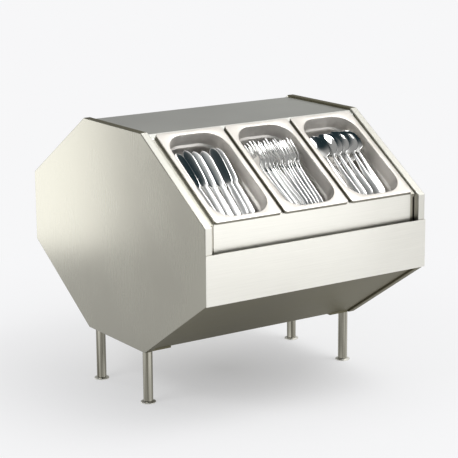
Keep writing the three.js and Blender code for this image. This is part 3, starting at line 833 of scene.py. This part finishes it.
def lay_row(kind, row, level, seed):
    """Copies of a piece side by side in a container, handles down towards its front wall.

    Each copy is rolled about its length, fanned so that the tips fill the width of the mouth and
    sloped up towards the rear, then set with its lowest point at a height above the floor. Slope
    and height follow the row's level, from 0 for the lowest row to 1 for the top one. Small seeded
    slips keep the row from looking combed. A copy that would pass a wall moves inwards by a few
    millimetres, and is left out if that isn't enough.
    """
    random = np.random.default_rng(seed)
    points, faces = kind.shape
    reach, end = kind.handles[min(row, len(kind.handles) - 1)]
    floor = RIM_TOP - CONTAINER_DEPTH
    height = LOWEST_ROW_HEIGHT + level * TOP_ROW_HEIGHT
    half = kind.half * math.cos(kind.roll)
    tip_reach = RIM_WIDTH / 2 - STEP_END[0] - half - TIP_CLEARANCE
    spread = (tip_reach - reach) / points[:, 1].max()
    parts = []
    for share in np.linspace(-1, 1, kind.count):
        fan = math.asin(share * spread) + random.uniform(-FAN_SLIP, FAN_SLIP)
        lift = level * TOP_ROW_SLOPE + random.uniform(-LIFT_SLIP, LIFT_SLIP)
        lean = -kind.roll + random.uniform(-LEAN_SLIP, LEAN_SLIP)
        turn = turn_matrix(0, lift) @ turn_matrix(2, -fan) @ turn_matrix(1, lean)
        placed = points @ turn.T
        low = floor + height - placed[:, 2].min()
        placed += [share * reach, end + random.uniform(0, END_SLIP), low]
        move = min(max(WALL_MOVE_GAIN * wall_excess(placed), 0), WALL_MOVE)
        placed[:, 0] -= math.copysign(move, share)
        if wall_excess(placed) <= 0:
            parts.append((placed, faces))
    return parts


def handle_faces(shape, grip):
    """Which faces of a piece have their middle on its handle."""
    points, (corners, sizes) = shape
    return np.add.reduceat(points[corners, 1], np.cumsum(sizes) - sizes) / sizes < grip


def make_cutlery():
    """Knives, forks and spoons, each kind in rows in its own container."""
    kinds = {
        "left": Kind("knives", knife(), 6, 0.45, 10, 4, 84, EVEN_ROWS),
        "middle": Kind("forks", fork(), 10, 0.75, 12.6, 4, 100, FORK_ROWS),
        "right": Kind("spoons", spoon(), 6, 0.56, 20.5, 3, 106, EVEN_ROWS),
    }
    for seed, (place, kind) in enumerate(kinds.items()):
        parts = []
        for row, level in enumerate(np.linspace(1, 0, kind.rows)):
            parts += lay_row(kind, row, level, seed + 10 * row)
        points, faces = joined(parts)
        mesh_piece(
            kind.name, slant_to_frame(points + [PLACES[place], 0, 0]), faces,
            [cutlery_steel, handle_steel], f"{place}_container",
            sharp=50, index=np.tile(handle_faces(kind.shape, kind.grip), len(parts)),
        )


make_cutlery()


# Stage: the floor's half width and the distances at which its shadow starts and ends, in metres
FLOOR_HALF = 60.0
SHADOW_FROM = -0.9
SHADOW_TO = 1.2


def make_floor():
    """A pale floor: it takes the shadow near the station and is plain white further off."""
    mesh = bpy.data.meshes.new("floor")
    corners = [(-1, -1, 0), (1, -1, 0), (1, 1, 0), (-1, 1, 0)]
    mesh.from_pydata((np.array(corners) * FLOOR_HALF).tolist(), [], [(0, 1, 2, 3)])
    floor = bpy.data.objects.new("floor", mesh)
    bpy.context.scene.collection.objects.link(floor)
    nodes = Nodes("floor_paper")
    nodes.set(Roughness=0.9, Base_Color=(0.86, 0.86, 0.87, 1), Specular_IOR_Level=0.1)
    glow = nodes.add("ShaderNodeEmission")
    glow.inputs["Color"].default_value = (0.93, 0.93, 0.94, 1)
    path = nodes.add("ShaderNodeLightPath").outputs
    through = nodes.math("MAXIMUM", path["Is Glossy Ray"], path["Is Transmission Ray"])
    seen = nodes.math("MAXIMUM", path["Is Camera Ray"], through)
    place = nodes.add("ShaderNodeTexCoord")
    reach = nodes.add("ShaderNodeVectorMath", operation="LENGTH")
    nodes.link(place.outputs["Object"], reach.inputs[0])
    far = nodes.add("ShaderNodeMapRange", interpolation_type="SMOOTHSTEP")
    far.inputs["From Min"].default_value = SHADOW_FROM
    far.inputs["From Max"].default_value = SHADOW_TO
    nodes.link(reach.outputs["Value"], far.inputs["Value"])
    mix = nodes.add("ShaderNodeMixShader")
    nodes.link(nodes.math("MULTIPLY", seen, far.outputs["Result"]), mix.inputs["Fac"])
    nodes.link(nodes.shader.outputs["BSDF"], mix.inputs[1])
    nodes.link(glow.outputs["Emission"], mix.inputs[2])
    nodes.link(mix.outputs["Shader"], nodes.tree.nodes["Material Output"].inputs["Surface"])
    mesh.materials.append(nodes.material)


# Studio: a direction and, by how nearly one looks along it, the colours between two stops
BRIGHT_PATCH = ((0.54, 0.11, 0.83), [(0.74, (0.34, 0.34, 0.335)), (0.96, (1.0, 1.0, 0.98))])
DARK_END = ((-0.43, -0.66, 0.62), [(0.48, (1, 1, 1)), (0.82, (0.05, 0.09, 0.11))])


def make_world():
    """A dim studio with one broad bright patch, high on the right, and a dark end by the camera."""
    world = bpy.data.worlds.new("studio")
    bpy.context.scene.world = world
    world.use_nodes = True
    tree = world.node_tree
    place = tree.nodes.new("ShaderNodeTexCoord")

    def by_direction(direction, stops):
        """A colour that eases from one stop to the other as a ray turns towards a direction."""
        toward = tree.nodes.new("ShaderNodeVectorMath")
        toward.operation = "DOT_PRODUCT"
        toward.inputs[1].default_value = direction
        ramp = tree.nodes.new("ShaderNodeValToRGB")
        ramp.color_ramp.interpolation = "EASE"
        for element, (turn, colour) in zip(ramp.color_ramp.elements, stops):
            element.position = turn
            element.color = (*colour, 1)
        tree.links.new(place.outputs["Generated"], toward.inputs[0])
        tree.links.new(toward.outputs["Value"], ramp.inputs["Fac"])
        return ramp.outputs["Color"]

    both = tree.nodes.new("ShaderNodeMix")
    both.data_type = "RGBA"
    both.blend_type = "MULTIPLY"
    both.inputs["Factor"].default_value = 1.0
    colours = [socket for socket in both.inputs if socket.type == "RGBA"]
    tree.links.new(by_direction(*BRIGHT_PATCH), colours[0])
    tree.links.new(by_direction(*DARK_END), colours[1])
    result = next(socket for socket in both.outputs if socket.type == "RGBA")
    tree.links.new(result, tree.nodes["Background"].inputs["Color"])


def soft_lamp(name, spot, aim, width, height, power):
    """A large soft lamp at a spot, turned to a point."""
    data = bpy.data.lights.new(name, "AREA")
    data.shape = "RECTANGLE"
    data.size = width
    data.size_y = height
    data.energy = power
    lamp = bpy.data.objects.new(name, data)
    bpy.context.scene.collection.objects.link(lamp)
    lamp.location = spot
    lamp.rotation_euler = (Vector(aim) - Vector(spot)).to_track_quat("-Z", "Y").to_euler()
    lamp.visible_camera = False


make_floor()
make_world()
soft_lamp("key", (1.2, -1.4, 3.0), (0, 0, 0.3), 2.0, 2.0, 70)
soft_lamp("back_left", (-0.66, 1.02, 0.36), (-0.28, 0.3, 0.45), 0.36, 0.6, 1.3)
soft_lamp("fill_left", (-1.6, -0.2, 1.42), (0, -0.2, 0.47), 0.9, 0.5, 9)
soft_lamp("front", (0.6, -1.8, 0.45), (-0.1, -0.3, 0.33), 1.0, 0.8, 4.1)

bpy.context.scene.view_settings.view_transform = "Standard"
